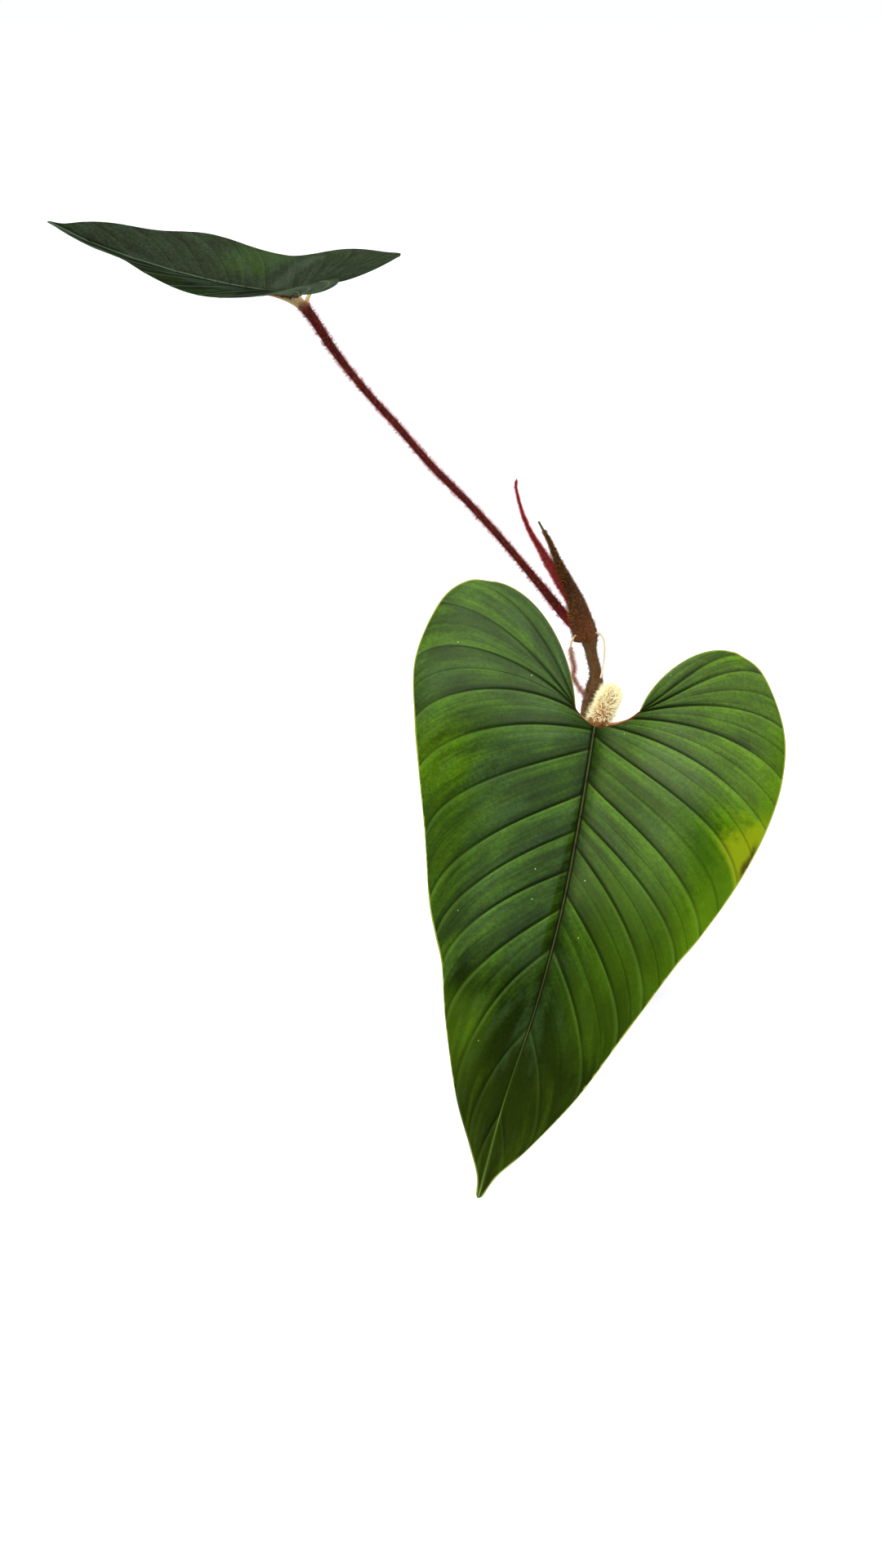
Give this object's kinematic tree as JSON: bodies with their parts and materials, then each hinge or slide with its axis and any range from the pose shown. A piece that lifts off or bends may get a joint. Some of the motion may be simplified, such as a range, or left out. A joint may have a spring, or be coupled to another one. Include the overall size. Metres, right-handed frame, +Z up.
{
  "type": "potted philodendron plant",
  "caption": "Young philodendron with broad heart-shaped leaves on bristly petioles, a rolled red new leaf and aerial roots, growing in a plain tapered pot.",
  "frame": {"origin": "middle of the pot's foot, on the surface it stands on", "axes": "+Z up along the pot's axis, -Y towards the front leaf's tip side"},
  "size_m": [0.3364, 0.3335, 0.3601],
  "materials": {
    "pot_clay": "matt off-white stoneware with faint throwing lines",
    "mix": "coarse dark bark and peat with pale crumbs",
    "stem_bark": "brown, finely hairy, ringed at the nodes",
    "pale_petiole": "pale green-yellow with dense cream bristles",
    "green_blade": "satin mid green, sunken dark side veins, yellow patch on one margin",
    "red_petiole": "dark maroon with crimson bristles",
    "dark_blade": "dark matt green with lighter veins",
    "red_spear": "crimson, finely red-haired",
    "brown_sheath": "dry dark brown, ribbed lengthwise",
    "pale_root": "smooth pale yellow-green",
    "brown_root": "drying, pale above and brown below"
  },
  "bodies": {
    "root": {"pot": "pot_clay", "potting_mix": "mix", "stem": "stem_bark", "front_petiole": "pale_petiole", "front_leaf": "green_blade", "far_petiole": "red_petiole", "far_leaf": "dark_blade", "new_leaf": "red_spear", "cataphyll": "brown_sheath", "aerial_root_right": "pale_root", "aerial_root_left": "brown_root"}
  },
  "joints": []
}
